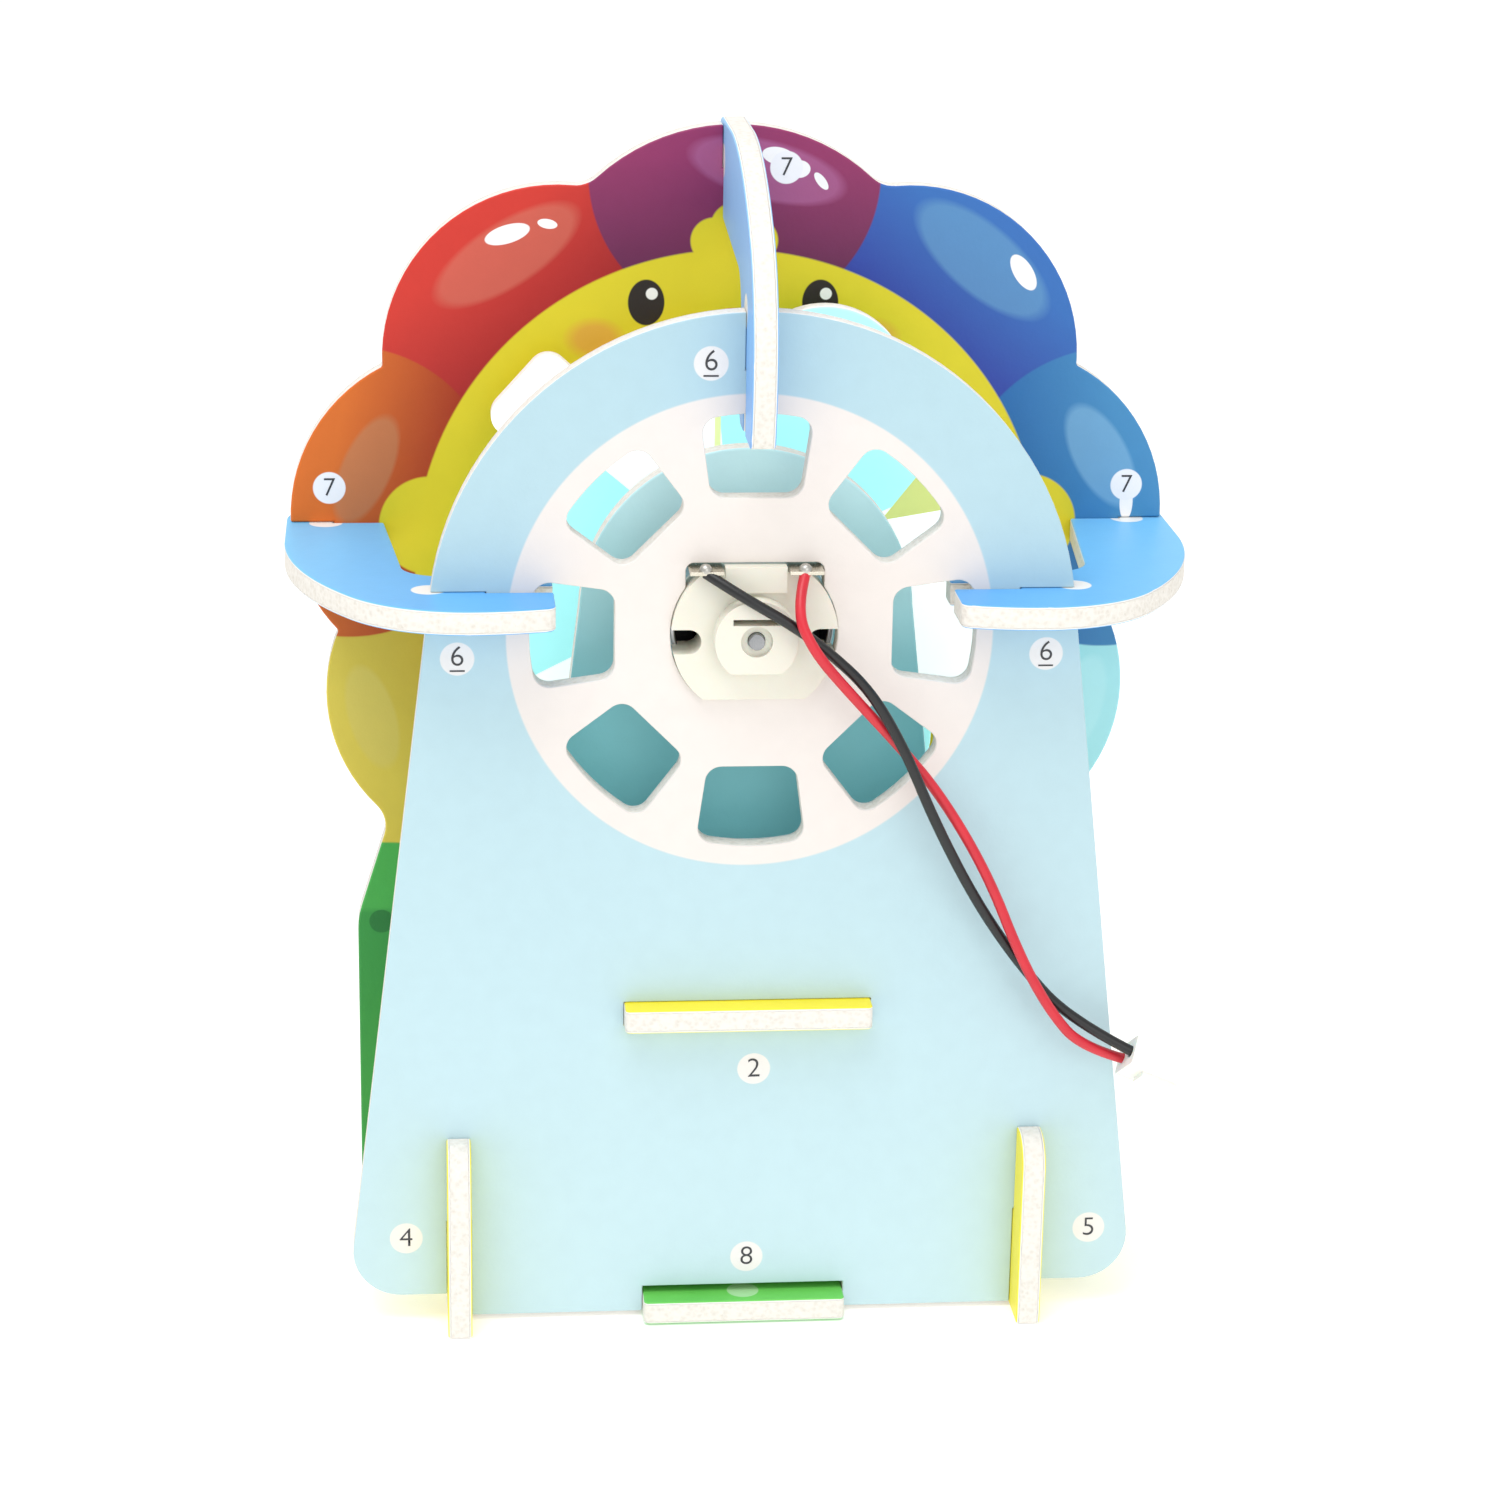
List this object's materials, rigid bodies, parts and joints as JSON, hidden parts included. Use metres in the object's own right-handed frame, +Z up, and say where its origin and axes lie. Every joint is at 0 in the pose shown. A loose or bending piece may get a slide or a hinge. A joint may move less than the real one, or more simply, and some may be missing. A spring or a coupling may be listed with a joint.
{
  "type": "game spinner",
  "caption": "Motor-driven game spinner built from slotted printed foam boards: a turning wheel shows through a round opening in a flower-shaped front board.",
  "frame": {"origin": "on the floor under the middle of the boards' overall box", "axes": "+X to the right seen from the back, +Y from the back board to the front board, +Z up"},
  "size_m": [0.113, 0.0516, 0.146],
  "materials": {
    "pale_blue_board": "printed satin film on foam board",
    "teal_board": "printed satin film on foam board",
    "printed_board": "printed satin film on foam board",
    "blue_board": "printed satin film on foam board",
    "yellow_board": "printed satin film on foam board",
    "green_board": "printed satin film on foam board",
    "wheel_board": "printed satin film on foam board",
    "motor_steel": "zinc plated, satin",
    "nylon": "moulded satin",
    "ferrite": "sintered matt",
    "brush_metal": "copper strip",
    "bearing_bronze": "sintered bronze",
    "terminal_brass": "stamped strip",
    "solder": "bright, rounded",
    "black_insulation": "satin vinyl",
    "red_insulation": "satin vinyl",
    "contact_metal": "tinned",
    "shaft_steel": "ground",
    "core_steel": "laminated",
    "coil_copper": "enamelled copper wire",
    "hub_plastic": "moulded satin"
  },
  "bodies": {
    "root": {"back_panel": "pale_blue_board", "middle_panel": "teal_board", "front_panel": "printed_board", "left_strut": "blue_board", "right_strut": "blue_board", "top_strut": "blue_board", "support_left": "yellow_board", "support_right": "yellow_board", "shelf": "yellow_board", "base_plate": "green_board", "motor_can": "motor_steel", "end_cap": "nylon", "magnet_left": "ferrite", "magnet_right": "ferrite", "brush_left": "brush_metal", "brush_right": "brush_metal", "front_bearing": "bearing_bronze", "rear_bearing": "bearing_bronze", "terminal_left": "terminal_brass", "terminal_right": "terminal_brass", "solder_left": "solder", "solder_right": "solder", "black_lead": "black_insulation", "red_lead": "red_insulation", "connector_housing": "nylon", "black_contact": "contact_metal", "red_contact": "contact_metal"},
    "rotor": {"spinner_wheel": "wheel_board", "motor_shaft": "shaft_steel", "armature_core": "core_steel", "coil_1": "coil_copper", "coil_2": "coil_copper", "coil_3": "coil_copper", "commutator": "terminal_brass", "wheel_hub": "hub_plastic", "wheel_clip": "hub_plastic"}
  },
  "joints": [
    {"name": "wheel_spin", "type": "hinge", "parent": "root", "child": "rotor", "pos_m": [0, 0.01125, 0.0895], "axis": [0, 1, 0], "continuous": true}
  ]
}
